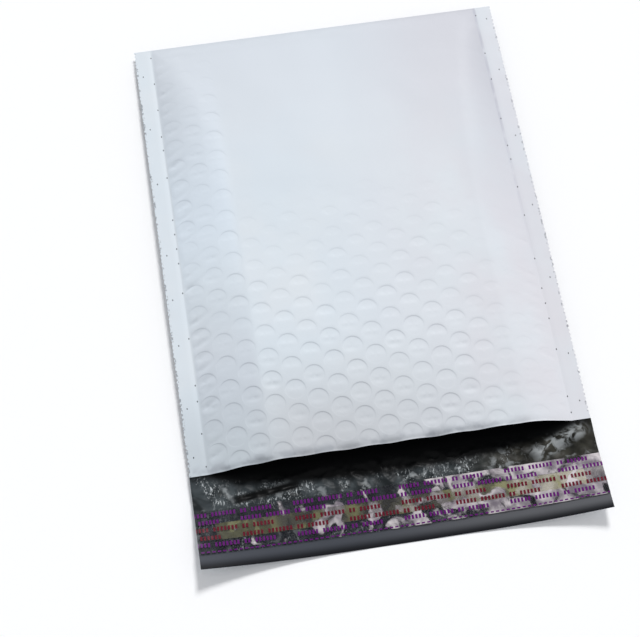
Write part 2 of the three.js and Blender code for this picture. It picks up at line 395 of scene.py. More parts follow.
def front_lining_side(x, y):
    """Inside of the front panel: exact at the lip, and clear of every dent further in."""
    room = SLACK * smooth(PANEL_HALF - abs(x), 0, SLACK_SIDE) * smooth(PANEL_END - y, 0, SLACK_FAR)
    clear = front_shape(x, y) - pucker_reach(x, y) - room
    return lerp(front_base(x, y), clear, smooth(y, 0, SLACK_LIP))


def beside(line, x, y):
    """Distance from a line of the plan, and how far along it, as a share of its length."""
    (ax, ay), (bx, by) = line
    length = math.hypot(bx - ax, by - ay)
    along = ((x - ax) * (bx - ax) + (y - ay) * (by - ay)) / length**2
    return ((y - ay) * (bx - ax) - (x - ax) * (by - ay)) / length, along


def fold_line(line, width, x, y):
    """1 on a single fold of the flap, falling to 0 beside it and at its ends."""
    distance, along = beside(line, x, y)
    return bell(distance, width) * smooth(along, *FOLD_START) * (1 - smooth(along, *FOLD_STOP))


def crinkle(x, y):
    """Creases of the bare flap between the mouth and the release liner."""
    along = -y
    bare = smooth(along, *CRINKLE_START) * (1 - smooth(along, *CRINKLE_STOP))
    folds = 0.0
    for height, size, layer in CRINKLES:
        crease = 1 - abs(wobble(x + CRINKLE_SHIFT * layer, y * CRINKLE_STRETCH, size, layer))
        folds += height * crease**3
    covered = smooth(along, *COVERED)
    ridge = RIDGE_RISE * fold_line(RIDGE, RIDGE_WIDTH, x, y)
    valley = VALLEY_DROP * fold_line(VALLEY, VALLEY_WIDTH, x, y)
    folds += ridge - valley
    return bare * (folds - CRINKLE_MEAN) + wave(UNDER_WAVE, x, y) * covered


def flap_skin(x, y):
    return max(FILM, flap_height(x, y) + crinkle(x, y))


def under_skin(x, y):
    return flap_skin(x, y) - FILM if y < 0 else back_height(x, y) - FILM


# Meshes are built from lines of vertices over the plan


class Shell:
    """Vertices and faces of one piece. A layer names the surface that a vertex lies on."""

    def __init__(self, **layers):
        self.layers = layers
        self.points = []
        self.faces = []
        self.finishes = []
        self.known = {}

    def vertex(self, layer, x, y):
        key = (layer, round(x, 3), round(y, 3))
        if key not in self.known:
            self.known[key] = len(self.points)
            self.points.append((x, y, self.layers[layer](x, y)))
        return self.known[key]

    def share(self, layer, vertex):
        """Let another layer have this vertex too."""
        x, y = self.points[vertex][:2]
        self.known[layer, round(x, 3), round(y, 3)] = vertex

    def line(self, layer, places):
        return [self.vertex(layer, x, y) for x, y in places]

    def face(self, corners, finish):
        self.faces.append(corners)
        self.finishes.append(finish)

    def merge(self, first, first_at, second, second_at, finish):
        """Triangles between two lines of vertices, by values that rise along each."""
        first_next = [*first_at[1:], math.inf]
        second_next = [*second_at[1:], math.inf]
        i = 0
        j = 0
        while i < len(first) - 1 or j < len(second) - 1:
            if first_next[i] <= second_next[j]:
                self.face((first[i], second[j], first[i + 1]), finish)
                i += 1
            else:
                self.face((first[i], second[j], second[j + 1]), finish)
                j += 1

    def zip(self, first, second, axis, finish):
        """Triangles between two lines that both run up an axis of the plan."""
        values = [[self.points[vertex][axis] for vertex in line] for line in (first, second)]
        self.merge(first, values[0], second, values[1], finish)

    def weave(self, lines, axis, finish):
        for first, second in zip(lines, lines[1:]):
            if len(first) == len(second):
                self.ladder(first, second, finish)
            else:
                self.zip(first, second, axis, finish)

    def ladder(self, first, second, finish):
        for m in range(len(first) - 1):
            self.face((first[m], second[m], second[m + 1], first[m + 1]), finish)

    def fan(self, line, centre, finish):
        for first, second in zip(line, line[1:]):
            self.face((first, second, centre), finish)


def closed(line):
    return [*line, line[0]]


def nth(lines, index):
    return [line[index] for line in lines]


def spread(start, end, steps):
    return [lerp(start, end, i / steps) for i in range(steps + 1)]


def column(x, ys):
    return [(x, y) for y in ys]


def row(y, xs):
    return [(x, y) for x in xs]


WHITE, DARK = 0, 1
EDGE_STEPS = 4  # pieces of each side of a bubble's cell
FULL_RINGS = (1.5, 2.8, 3.8, 4.7, 4.95, 5.15, 5.35, 5.6)
FAINT_RINGS = (2.6, 5.0)
LAST_RINGS = (0.7, 1.4)
RING_LIMIT = 0.985  # the most that a ring fills of its cell
FAINT = 0.06  # how clearly a bubble has to show to get all rings
FLAP_STEP = 0.9
INSET = 2  # stations of the flap's mesh from its side to a line inside the notches
SEAL_ROWS = 8  # rows of the seals' mesh in half a row of bubbles
SEAL_LINES = (0.4, 0.85, 3.2, 5.9, 6.35, 8.0, 8.6)  # from the seam outwards
TOOTH_SEED = 7919
PIT_SEED = 5
PIT_STRIPS = {0: 5, 3: 12}  # strips of that mesh with pinholes, and their first row
PIT_STEPS = {0: (11, 22, 22, 33), 3: (33, 44, 55)}  # rows from one pinhole to the next
PIT_DEPTH = 0.11
LIP_ROWS = (0, 0.25, 0.6, 1.1, 1.7, 2.3)  # rows of the lip's mesh
INSIDE_ROWS = (0, 0.5, 1, 2, 3, 4, 5, 7, 10)  # rows of the front panel's inside by the mouth
INSIDE_MIDDLE = (15, 110, 16)  # start, end and steps of the rows after them
INSIDE_FAR = (120, PANEL_END, 14)
BACK_EVEN = (15, PANEL_END - BACK_SLOPE, 16)  # the same for the back panel
FOLD_ROWS = (12, 8, 5, 2.5)  # its last rows, from the bottom fold
UNDER_ROW = 6  # row of the seals' mesh where the underside's lines start
UNDER_SIDE = 97  # outermost of those lines

stations = spread(-PANEL_HALF, PANEL_HALF, COLUMNS)
even_xs = spread(-PANEL_HALF, PANEL_HALF, COLUMNS * EDGE_STEPS)
seal_ys = spread(0, BODY_LENGTH, 2 * ROWS * SEAL_ROWS)
corner_ys = [corner_y(j) for j in range(1, 2 * ROWS + 2)]
seam_ys = list(LIP_ROWS)
for low, high in zip(corner_ys, corner_ys[1:]):
    seam_ys += spread(low, high, EDGE_STEPS)[:-1]
seam_ys.append(PANEL_END)


def cell_corner(k, j):
    """Corner j of line k: the lines zigzag between the bubbles on their two sides."""
    straight = k in (0, COLUMNS) or j > 2 * ROWS
    shift = 0 if straight else COLUMN_WIDTH / 6 * (1 if (j + k) % 2 else -1)
    return (stations[k] + shift, corner_y(j))


def lip_places():
    """Lines of the lip's mesh, which meet the cells behind it and the bubbles that it cuts."""
    xs = []
    for k in range(COLUMNS):
        left = cell_corner(k, 1)[0]
        right = cell_corner(k + 1, 1)[0]
        if first_row(k) == 1:
            centre = BUBBLES[k, 0].x
            before = [centre - radius for radius in reversed(FULL_RINGS)]
            after = [centre + radius for radius in FULL_RINGS]
            xs += [left, *before, centre, *after]
        else:
            xs += spread(left, right, EDGE_STEPS)[:-1]
    return [*xs, PANEL_HALF]


lip_xs = lip_places()


def subdivided(corners, steps=EDGE_STEPS):
    """Points along a line of corners, without its last corner."""
    points = []
    for (ax, ay), (bx, by) in zip(corners, corners[1:]):
        shares = [i / steps for i in range(steps)]
        points += [(lerp(ax, bx, share), lerp(ay, by, share)) for share in shares]
    return points


def shrunk(outline, centre, radius, widest):
    """The outline drawn in to a circle around a centre."""
    ring = []
    for x, y in outline:
        reach = math.hypot(x - centre[0], y - centre[1])
        share = min(radius / reach, RING_LIMIT * radius / widest)
        ring.append((lerp(centre[0], x, share), lerp(centre[1], y, share)))
    return ring


def fill_cell(shell, corners, centre, radii, whole=True):
    """A cell as rings around its centre. The lip's mesh carries on one that isn't whole."""
    outline = subdivided(closed(corners)) if whole else subdivided(corners) + corners[-1:]
    rings = [shrunk(outline, centre, radius, max(radii)) for radius in reversed(radii)]
    lines = [shell.line("front", ring) for ring in [outline, *rings]]
    if whole:
        lines = [closed(line) for line in lines]
    for outer, inner in zip(lines, lines[1:]):
        shell.ladder(outer, inner, WHITE)
    shell.fan(lines[-1], shell.vertex("front", *centre), WHITE)


def cell_outline(k, low, high, corner=cell_corner):
    right = [corner(k + 1, j) for j in range(low, high + 1)]
    left = [corner(k, j) for j in range(low, high + 1)]
    return [*right, *reversed(left)]


def front_panel(shell):
    for k in range(COLUMNS):
        j = first_row(k) - 1
        for n in range(column_count(k)):
            bubble = BUBBLES[k, n]
            radii = FULL_RINGS if shows(bubble.x, bubble.y) > FAINT else FAINT_RINGS
            corners = cell_outline(k, max(j, 1), j + 2)
            fill_cell(shell, corners, (bubble.x, bubble.y), radii, whole=j > 0)
            j += 2
        last = cell_outline(k, j, 2 * ROWS + 1)
        centre = (column_centre(k), (corner_y(j) + PANEL_END) / 2)
        fill_cell(shell, last, centre, LAST_RINGS)
    lip = [shell.line("front", row(y, lip_xs)) for y in (*LIP_ROWS, corner_y(1))]
    shell.weave(lip, 0, WHITE)


def tooth(m, side):
    """How far the cut edge stands back at row m."""
    if m in (0, len(seal_ys) - 1):
        return 0
    draw = random.Random(TOOTH_SEED * m + (side > 0))
    return TOOTH * draw.uniform(*(FRAY if m % TOOTH_ROWS else NOTCH))


def edge_places(side):
    return [(side * (HALF_WIDTH - tooth(m, side)), y) for m, y in enumerate(seal_ys)]


def seal(shell, side):
    seam = shell.line("front", column(side * PANEL_HALF, [*seam_ys, BODY_LENGTH]))
    lines = [shell.line("front", column(side * (PANEL_HALF + out), seal_ys)) for out in SEAL_LINES]
    lines.append(shell.line("front", edge_places(side)))
    shell.zip(seam, lines[0], 1, WHITE)
    draw = random.Random(PIT_SEED + side)
    for i in range(len(lines) - 1):
        pit = PIT_STRIPS.get(i)
        for m in range(len(seal_ys) - 1):
            corners = [lines[i][m], lines[i + 1][m], lines[i + 1][m + 1], lines[i][m + 1]]
            # A pinhole is a shallow pit with a bottom of the dark film, which the painted shadow
            # of the mouth turns nearly black here
            if m == pit:
                pit += draw.choice(PIT_STEPS[i])
                bottom = [shell.vertex("pit", *shell.points[c][:2]) for c in corners]
                shell.ladder(closed(corners), closed(bottom), DARK)
                shell.face(tuple(bottom), DARK)
            else:
                shell.face(tuple(corners), WHITE)
    return [seam, *lines]


def outer_film():
    shell = Shell(
        front=front_skin,
        pit=lambda x, y: front_skin(x, y) - PIT_DEPTH,
        inside=front_lining_side,
        back=back_height,
        seam=lambda _, y: border_height(y),
        flap=flap_skin,
        under=under_skin,
    )
    front_panel(shell)
    left_lines = seal(shell, -1)[::-1]
    right_lines = seal(shell, 1)

    # The crease along the bottom fold
    crease = shell.line("front", row(PANEL_END, even_xs))
    far_panel = shell.line("front", row(BODY_LENGTH, even_xs))
    shell.ladder(crease, far_panel, WHITE)

    # Both panels seen from the pocket
    left_seam = shell.line("seam", column(-PANEL_HALF, seam_ys))
    right_seam = shell.line("seam", column(PANEL_HALF, seam_ys))
    halfway = [(a + b) / 2 for a, b in zip(even_xs, even_xs[1:])]
    inner_xs = sorted([*even_xs[1:-1], *halfway[:2], *halfway[-2:]])
    inside_ys = [*INSIDE_ROWS, *spread(*INSIDE_MIDDLE), *spread(*INSIDE_FAR)[:-1]]
    far_seam = {x: shell.vertex("seam", x, PANEL_END) for x in inner_xs}
    inside = [shell.line("inside", column(x, inside_ys)) + [far_seam[x]] for x in inner_xs]
    shell.weave([left_seam, *inside, right_seam], 1, DARK)
    lip = shell.line("front", row(0, lip_xs))
    lip_inside = [left_seam[0], *nth(inside, 0), right_seam[0]]
    shell.zip(lip, lip_inside, 0, WHITE)

    step = len(LIP_ROWS) + EDGE_STEPS
    floor_ys = spread(*BACK_EVEN) + [PANEL_END - distance for distance in FOLD_ROWS]
    back_ys = [seam_ys[step], *floor_ys]
    back = [shell.line("back", column(x, back_ys)) + [far_seam[x]] for x in inner_xs]
    shell.weave([right_seam[step:], *reversed(back), left_seam[step:]], 1, DARK)

    # The flap, and the back panel seen from below
    band_steps = round(SEAL_WIDTH / FLAP_STEP)
    left_band = spread(-HALF_WIDTH, -PANEL_HALF, band_steps)
    right_band = spread(PANEL_HALF, HALF_WIDTH, band_steps)
    middle_xs = spread(-PANEL_HALF, PANEL_HALF, round(2 * PANEL_HALF / FLAP_STEP))
    flap_xs = [*left_band, *middle_xs[1:-1], *right_band]
    flap_ys = spread(-FLAP_LENGTH, 0, round(FLAP_LENGTH / FLAP_STEP))
    shell.share("flap", left_seam[0])
    shell.share("flap", right_seam[0])
    flap = [shell.line("flap", column(x, flap_ys)) for x in flap_xs]
    shell.weave(flap, 1, DARK)
    mouth = nth(flap, -1)
    stop = len(mouth) - band_steps
    left_rise = reversed(left_seam[1 : step + 1])
    pocket_floor = [*left_rise, *mouth[band_steps:stop], *right_seam[1 : step + 1]]
    shell.zip(pocket_floor, nth(back, 0), 0, DARK)

    under_flap = [shell.line("under", column(x, flap_ys)) for x in flap_xs]
    shell.weave(under_flap, 1, WHITE)
    left_under = shell.line("under", edge_places(-1))
    right_under = shell.line("under", edge_places(1))
    body_ys = [seal_ys[UNDER_ROW], *floor_ys, PANEL_END, BODY_LENGTH]
    body_xs = [-UNDER_SIDE, *even_xs, UNDER_SIDE]
    body = [shell.line("under", column(x, body_ys)) for x in body_xs]
    left_inset = shell.line("under", column(flap_xs[INSET], seal_ys))
    right_inset = shell.line("under", column(flap_xs[-1 - INSET], seal_ys))
    mouth_under = nth(under_flap, -1)
    shell.zip(mouth_under[: INSET + 1], [left_under[1], left_inset[1]], 0, WHITE)
    shell.zip(mouth_under[-1 - INSET :], [right_inset[1], right_under[1]], 0, WHITE)
    shell.ladder(left_under[1:], left_inset[1:], WHITE)
    shell.ladder(right_inset[1:], right_under[1:], WHITE)
    shell.weave([left_inset[UNDER_ROW:], *body, right_inset[UNDER_ROW:]], 1, WHITE)
    left_rise = reversed(left_inset[1 : UNDER_ROW + 1])
    strip = [*left_rise, *mouth_under[INSET:-INSET], *right_inset[1 : UNDER_ROW + 1]]
    shell.zip(strip, nth(body, 0), 0, WHITE)

    # Cut edges: the flap's sides, the seals' ends and sides, and the bottom fold
    shell.ladder(nth(flap, 0), nth(under_flap, 0), WHITE)
    shell.ladder(flap[0], under_flap[0], WHITE)
    shell.ladder(flap[-1], under_flap[-1], WHITE)
    shell.zip(nth(left_lines, 0), mouth[: band_steps + 1], 0, WHITE)
    shell.zip(nth(right_lines, 0), mouth[stop - 1 :], 0, WHITE)
    shell.share("seam", mouth[0])
    shell.share("seam", mouth[-1])
    for side, top, under in ((-1, left_lines[0], left_under), (1, right_lines[-1], right_under)):
        middle = shell.line("seam", edge_places(side))
        shell.ladder(top, middle, WHITE)
        shell.ladder(middle, under, WHITE)
    far_top = [*nth(left_lines, -1), *far_panel[1:-1], *nth(right_lines, -1)]
    far_middle = shell.line("seam", row(BODY_LENGTH, [-HALF_WIDTH, *stations, HALF_WIDTH]))
    under_lines = [left_under, left_inset, *body, right_inset, right_under]
    shell.zip(far_top, far_middle, 0, WHITE)
    shell.zip(far_middle, nth(under_lines, -1), 0, WHITE)
    return shell


# The lining: two layers of bubble film with their flat sides to the pocket

SHEET = 0.12
LEAST_BUBBLE = 0.05
LINING_SIDES = 12
BUBBLE_PARTS = {"_sheet": 0, "_shoulder": 0.75, "_crown": 1}  # shares of a bubble's height
BUBBLE_RINGS = (("_sheet", 5.0), ("_shoulder", 4.9), ("_crown", 4.2), ("_crown", 2.0))
FLAT_RINGS = (5.0, 4.2, 2.0)
LINING_ROWS_END = 2 * ROWS - 2


def lining_top(x, y):
    return front_lining_side(x, y) - LINING_CLEARANCE


def lining_bottom(x, y):
    return back_height(x, y) + LINING_CLEARANCE


def pocket_face(x, y, side):
    """The flat side of the front layer (side 1) or the back layer (side -1)."""
    top = lining_top(x, y)
    bottom = lining_bottom(x, y)
    return (top + bottom) / 2 + side * (max(top - bottom - 2 * LINING, POCKET_PARTING) / 2)


def bubble_surface(side, share):
    """The surface of a layer at a share of its bubbles' height."""

    def height(x, y):
        face = pocket_face(x, y, side)
        outer = lining_top(x, y) if side > 0 else lining_bottom(x, y)
        rise = max(LEAST_BUBBLE, side * (outer - face) - SHEET)
        return face + side * (SHEET + share * rise)

    return height


def bubble_lining():
    shell = Shell()
    for side, name in ((1, "front"), (-1, "back")):
        shell.layers[name] = partial(pocket_face, side=side)
        for part, share in BUBBLE_PARTS.items():
            shell.layers[name + part] = bubble_surface(side, share)
        lining_layer(shell, name)
    return shell


def lining_corner(k, j):
    x = cell_corner(k, j)[0]
    y = j * HALF_ROW
    if k in (1, COLUMNS - 1):
        x = math.copysign(PANEL_HALF - LINING_INSET, x)
    if j in (0, LINING_ROWS_END):
        x = stations[k] if k not in (1, COLUMNS - 1) else x
    return (x, max(y, LINING_LIP))


def lining_layer(shell, name):
    """A flat sheet with a round bubble in each cell. Both sides have points at the same places."""
    flat_rings = [(name, radius) for radius in FLAT_RINGS]
    bubble_rings = [(name + part, radius) for part, radius in BUBBLE_RINGS]
    rim = {}
    for k in range(1, COLUMNS - 1):
        start = (k + 1) % 2
        rows = list(range(start, LINING_ROWS_END, 2))
        ends = ([(0, start)] if start else []) + [(j, min(j + 2, LINING_ROWS_END)) for j in rows]
        for low, high in ends:
            corners = cell_outline(k, low, high, lining_corner)
            outline = subdivided(closed(corners), 2)
            centre = (column_centre(k), (corners[0][1] + corners[high - low][1]) / 2)
            flat = closed(shell.line(name, outline))
            raised = closed(shell.line(name + "_sheet", outline))
            for a, b, c, d in zip(flat, flat[1:], raised, raised[1:]):
                rim.setdefault(frozenset((a, b)), []).append((a, b, d, c))
            if high - low < 2 or low == 0:
                shell.fan(flat, shell.vertex(name, *centre), 0)
                shell.fan(raised, shell.vertex(name + "_sheet", *centre), 0)
            else:
                disc(shell, name, outline, centre, flat_rings)
                disc(shell, name + "_sheet", outline, centre, bubble_rings)
    for walls in rim.values():
        if len(walls) == 1:
            shell.face(walls[0], 0)


def disc(shell, layer, outline, centre, rings):
    """One side of a cell, as rings around its centre, each with its layer."""
    cx, cy = centre

    def angle(place):
        return math.atan2(place[1] - cy, place[0] - cx) % math.tau

    places = sorted(outline, key=angle)
    turns = [angle(place) for place in places]
    angles = [math.tau * (i + 0.5) / LINING_SIDES for i in range(LINING_SIDES)]
    lines = []
    for ring_layer, radius in rings:
        circle = [(cx + radius * math.cos(a), cy + radius * math.sin(a)) for a in angles]
        lines.append(closed(shell.line(ring_layer, circle)))
    outer = closed(shell.line(layer, places))
    ends = (math.tau + turns[0], math.tau + angles[0])
    shell.merge(outer, [*turns, ends[0]], lines[0], [*angles, ends[1]], 0)
    for first, second in zip(lines, lines[1:]):
        for m in range(LINING_SIDES):
            shell.face((first[m], second[m], second[m + 1]), 0)
            shell.face((first[m], second[m + 1], first[m + 1]), 0)
    shell.fan(lines[-1], shell.vertex(rings[-1][0], *centre), 0)


# The closure on the flap. A mesh has columns and rows, and the liner lifts in places.
ADHESIVE_MESH = (180, 9)
ADHESIVE_MEAN = 0.9
ADHESIVE_WAVE = (0.2, 3, 2.6)
LINER_MESH = (222, 30)
LIFT = 0.45
LIFT_WAVES = ((1, 14, 12.5), (0.5, 6, 4.5))
LIFT_CREASE = 0.12
LIFT_FOLDS = (1, 5, 8.8)
LIFT_STRETCH = 0.6


def closed_sheet(half, start, end, mesh, lower, thickness):
    """A thin sheet across the flap."""
    columns, rows = mesh
    xs = spread(-half, half, columns)
    ys = spread(-end, -start, rows)
    shell = Shell(top=lambda x, y: lower(x, y) + thickness(x, y), bottom=lower)
    top = [shell.line("top", column(x, ys)) for x in xs]
    bottom = [shell.line("bottom", column(x, ys)) for x in xs]
    shell.weave(top, 1, 0)
    shell.weave(bottom, 1, 0)
    shell.ladder(top[0], bottom[0], 0)
    shell.ladder(top[-1], bottom[-1], 0)
    shell.ladder(nth(top, 0), nth(bottom, 0), 0)
    shell.ladder(nth(top, -1), nth(bottom, -1), 0)
    return shell


def adhesive_strip():
    def lower(x, y):
        return flap_skin(x, y) + LAYER_GAP

    def thickness(x, y):
        return ADHESIVE * (ADHESIVE_MEAN + wave(ADHESIVE_WAVE, x, y))

    return closed_sheet(PANEL_HALF, ADHESIVE_START, ADHESIVE_END, ADHESIVE_MESH, lower, thickness)


def release_liner():
    def lower(x, y):
        lift = LIFT * sum(max(0, wave(kind, x, y)) for kind in LIFT_WAVES)
        crease = 1 - abs(wave(LIFT_FOLDS, x, y * LIFT_STRETCH))
        return flap_skin(x, y) + 2 * LAYER_GAP + ADHESIVE + (lift + LIFT_CREASE * crease**4)

    return closed_sheet(HALF_WIDTH, LINER_START, LINER_END, LINER_MESH, lower, lambda x, y: LINER)


# Materials


class Graph:
    """Short names for the nodes of one material, or of the world."""

    def __init__(self, name, kind=bpy.data.materials, shader="Principled BSDF"):
        self.owner = kind.new(name)
        self.owner.use_nodes = True
        self.tree = self.owner.node_tree
        self.shader = self.tree.nodes[shader]

    def node(self, kind, *values, **inputs):
        """A node with values for its first inputs or by name."""
        node = self.tree.nodes.new(kind)
        for socket, value in zip(node.inputs, values):
            self.feed(socket, value)
        for name, value in inputs.items():
            self.feed(node.inputs[name], value)
        return node

    def feed(self, socket, value):
        if isinstance(value, bpy.types.NodeSocket):
            self.tree.links.new(value, socket)
        else:
            socket.default_value = value

    def math(self, operation, first, second=0.0, third=0.0):
        node = self.node("ShaderNodeMath", first, second, third)
        node.operation = operation
        return node.outputs[0]

    def times(self, first, *others):
        for other in others:
            first = self.math("MULTIPLY", first, other)
        return first

    def most(self, first, *others):
        for other in others:
            first = self.math("MAXIMUM", first, other)
        return first

    def tint(self, base, shade, *shares):
        """A colour laid over another by the product of shares from 0 to 1."""
        return self.mix(self.times(*shares), base, shade)

    def plan(self):
        """The plan in millimetres, as a vector and as x and y."""
        node = self.node("ShaderNodeAttribute")
        node.attribute_name = "plan"
        parts = self.node("ShaderNodeSeparateXYZ", node.outputs["Vector"])
        return node.outputs["Vector"], parts.outputs["X"], parts.outputs["Y"]

    def noise(self, vector, size, detail=2.0, distortion=0.0):
        """Noise from 0 to 1 with features of the given size in millimetres."""
        shape = {"Scale": 1 / size, "Detail": detail, "Distortion": distortion}
        return self.node("ShaderNodeTexNoise", vector, **shape).outputs["Fac"]

    def between(self, value, low, high):
        """0 below low, 1 above high, smooth between."""
        node = self.node("ShaderNodeMapRange", value, low, high)
        node.interpolation_type = "SMOOTHSTEP"
        return node.outputs["Result"]

    def mix(self, share, first, second):
        node = self.node("ShaderNodeMix")
        node.data_type = "RGBA"
        self.feed(node.inputs["Factor"], share)
        self.feed(node.inputs[6], first)
        self.feed(node.inputs[7], second)
        return node.outputs[2]

    def bump(self, height, depth, strength=1.0):
        """depth is in millimetres."""
        node = self.node("ShaderNodeBump", Height=height, Distance=depth * MM, Strength=strength)
        return node.outputs["Normal"]

    def set(self, **inputs):
        for name, value in inputs.items():
            self.feed(self.shader.inputs[name.replace("_", " ")], value)


def linear(part):
    """A part of a display colour, from 0 to 255, as the shader takes it."""
    share = part / 255
    return share / 12.92 if part <= 10 else ((share + 0.055) / 1.055) ** 2.4


def colour(red, green, blue):
    return (linear(red), linear(green), linear(blue), 1.0)


def white_film():
    g = Graph("white_film")
    vector, x, y = g.plan()
    outwards = g.math("ABSOLUTE", x)
    base = g.mix(g.between(x, -40, 90), colour(213, 222, 229), colour(217, 216, 221))
    cloud = g.between(g.noise(vector, 34, 3), 0.3, 0.8)
    base = g.tint(base, colour(217, 223, 228), cloud)
    # Painted light and shade on the slopes: the left one lighter further in and darker near the
    # mouth, the right one darker
    left = g.times(g.between(x, -56, -63), g.between(x, -PANEL_HALF, -PANEL_HALF + 1))
    base = g.tint(base, colour(218, 228, 237), left, g.between(y, 80, 140))
    base = g.tint(base, colour(206, 213, 221), left, g.between(y, 110, 30))
    base = g.tint(base, colour(205, 208, 216), g.between(x, 56, 72), g.between(y, 60, 140), 0.3)
    # Painted shade on the panel towards the bottom fold and towards the mouth
    panel = g.between(outwards, PANEL_HALF + 1, PANEL_HALF - 1)
    far = g.mix(g.between(x, 0, 75), colour(203, 209, 216), colour(197, 198, 205))
    base = g.tint(base, far, panel, g.between(y, 120, 245))
    near = g.mix(g.between(x, -75, -40), colour(194, 202, 208), colour(193, 196, 200))
    base = g.tint(base, near, g.between(y, 62, 0), g.between(x, 95, -30))
    # Painted shade beside the right seam, and the weld line along it: partly the dark inside
    # showing through, partly painted shade of its groove
    seam_shade = g.times(g.between(x, 74, PANEL_HALF), g.between(x, PANEL_HALF + 1, PANEL_HALF))
    base = g.tint(base, colour(188, 189, 199), seam_shade, g.between(y, 40, 190), 0.1)
    off_seam = g.math("ABSOLUTE", g.math("SUBTRACT", x, PANEL_HALF + 0.2))
    weld_and_shade = g.times(g.between(off_seam, 1.2, 0.2), g.between(y, 60, 230))
    uneven = g.between(g.noise(vector, 9, 2), 0.15, 0.6)
    base = g.tint(base, colour(168, 169, 182), weld_and_shade, uneven, 0.6)
    # Painted shade in spots along the notched cut edges, and painted shade along the lip
    cut = g.between(outwards, HALF_WIDTH - 1.3, HALF_WIDTH - 0.7)
    notch_shade = g.between(g.noise(vector, 1.7, 1), 0.56, 0.64)
    base = g.tint(base, colour(96, 100, 108), cut, g.between(y, -0.5, 0.5), notch_shade, 0.65)
    lip = g.times(g.between(y, 6.5, 0.6), g.between(g.noise(vector, 6, 2), 0.4, 0.62))
    base = g.tint(base, colour(160, 165, 172), lip, g.between(x, 85, 30), 0.6)
    grain = g.noise(vector, 1.6, 3)
    g.set(Base_Color=base, Roughness=g.math("MULTIPLY_ADD", grain, 0.12, 0.46), IOR=1.36)
    g.set(Normal=g.bump(grain, 0.02, 0.5))
    return g.owner


def strokes(g, x, y, wide, long, low, high):
    """1 on short strokes that run up the flap."""
    place = g.node("ShaderNodeCombineXYZ", g.math("DIVIDE", x, wide), g.math("DIVIDE", y, long))
    return g.between(g.noise(place.outputs[0], 1, 2, 0.9), low, high)


def near_line(g, line, width, x, y):
    """1 on a line of the plan, 0 beyond the given width and beyond its ends."""
    (ax, ay), (bx, by) = line
    length = math.hypot(bx - ax, by - ay)
    cosine = (bx - ax) / length
    sine = (by - ay) / length
    over = g.math("MULTIPLY_ADD", y, cosine, ax * sine - ay * cosine)
    over = g.math("ABSOLUTE", g.math("MULTIPLY_ADD", x, -sine, over))
    along = g.math("MULTIPLY_ADD", y, sine, -ax * cosine - ay * sine)
    along = g.math("MULTIPLY_ADD", x, cosine, along)
    start = g.between(along, -0.1 * length, 0.15 * length)
    stop = g.between(along, 1.1 * length, 0.85 * length)
    return g.times(start, stop, g.between(over, width, 0.3 * width))


def dark_film():
    """Dark inside of the film, with painted highlights on its creases and painted shade in a fold
    and in the mouth.
    """
    g = Graph("dark_film")
    vector, x, y = g.plan()
    cloud = g.between(g.noise(vector, 9, 4, 0.6), 0.35, 0.7)
    left = g.mix(cloud, colour(32, 36, 38), colour(68, 74, 77))
    right = g.mix(cloud, colour(30, 30, 27), colour(56, 55, 49))
    base = g.mix(g.between(x, 20, 60), left, right)
    # Painted highlights on the creases and along the ridge fold
    patch = g.times(g.between(g.noise(vector, 13, 2), 0.44, 0.6), g.between(x, 70, 45))
    pale = g.times(g.between(g.noise(vector, 6, 3, 0.3), 0.56, 0.7), 0.45)
    stroke = g.most(strokes(g, x, y, 1.2, 3.2, 0.6, 0.67), strokes(g, x, y, 0.7, 0.9, 0.61, 0.68))
    broken = g.between(g.noise(vector, 4, 4, 0.7), 0.4, 0.6)
    ridge = g.times(near_line(g, RIDGE, 6, x, y), broken, 0.65)
    painted_highlight = g.most(pale, g.times(stroke, patch), ridge)
    base = g.tint(base, colour(192, 197, 199), painted_highlight, 0.8)
    # Painted shade in the valley fold
    base = g.tint(base, colour(5, 6, 7), near_line(g, VALLEY, 3.6, x, y))
    # Painted shadow of the lip, which reaches out on the flap furthest in the middle and covers
    # all of the pocket's inside
    reach = g.math("MULTIPLY_ADD", g.math("POWER", g.math("DIVIDE", x, 92), 2), 10, -15)
    base = g.tint(base, colour(10, 11, 12), g.between(y, reach, g.math("ADD", reach, 5)))
    # The flap's end beyond the liner: a grey strip with painted light, lighter on the right, and
    # darker towards its end
    end = g.between(y, -LINER_END + 1.0, -LINER_END - 0.5)
    strip = g.mix(g.between(x, -40, 60), colour(72, 75, 82), colour(92, 93, 97))
    tip = g.between(y, -FLAP_LENGTH + 0.4, -LINER_END - 2)
    base = g.mix(end, base, g.mix(tip, colour(24, 25, 29), strip))
    rough = g.math("MULTIPLY_ADD", end, 0.15, 0.33)
    frost = g.bump(g.noise(vector, 0.9, 2), 0.06, 0.6)
    g.set(Base_Color=base, Roughness=rough, IOR=1.14, Normal=frost)
    return g.owner


def bubble_film():
    g = Graph("bubble_film")
    vector = g.plan()[0]
    cloud = g.noise(vector, 6, 3)
    base = g.mix(cloud, colour(120, 126, 130), colour(168, 174, 178))
    g.set(Base_Color=base, Roughness=g.math("MULTIPLY_ADD", cloud, 0.2, 0.3), IOR=1.4)
    g.set(Normal=g.bump(g.noise(vector, 1.2, 2), 0.05, 0.5))
    return g.owner


def adhesive():
    g = Graph("adhesive")
    vector, x = g.plan()[:2]
    streak = g.noise(vector, 4, 4, 0.8)
    worn = g.between(g.noise(vector, 17, 2, 0.5), 0.4, 0.6)
    left = g.mix(worn, colour(58, 56, 46), colour(112, 112, 72))
    base = g.mix(g.between(x, 10, 90), left, colour(172, 170, 126))
    g.set(Base_Color=base, Roughness=g.math("MULTIPLY_ADD", streak, 0.3, 0.15), IOR=1.48)
    g.set(Normal=g.bump(streak, 0.1, 0.5))
    return g.owner


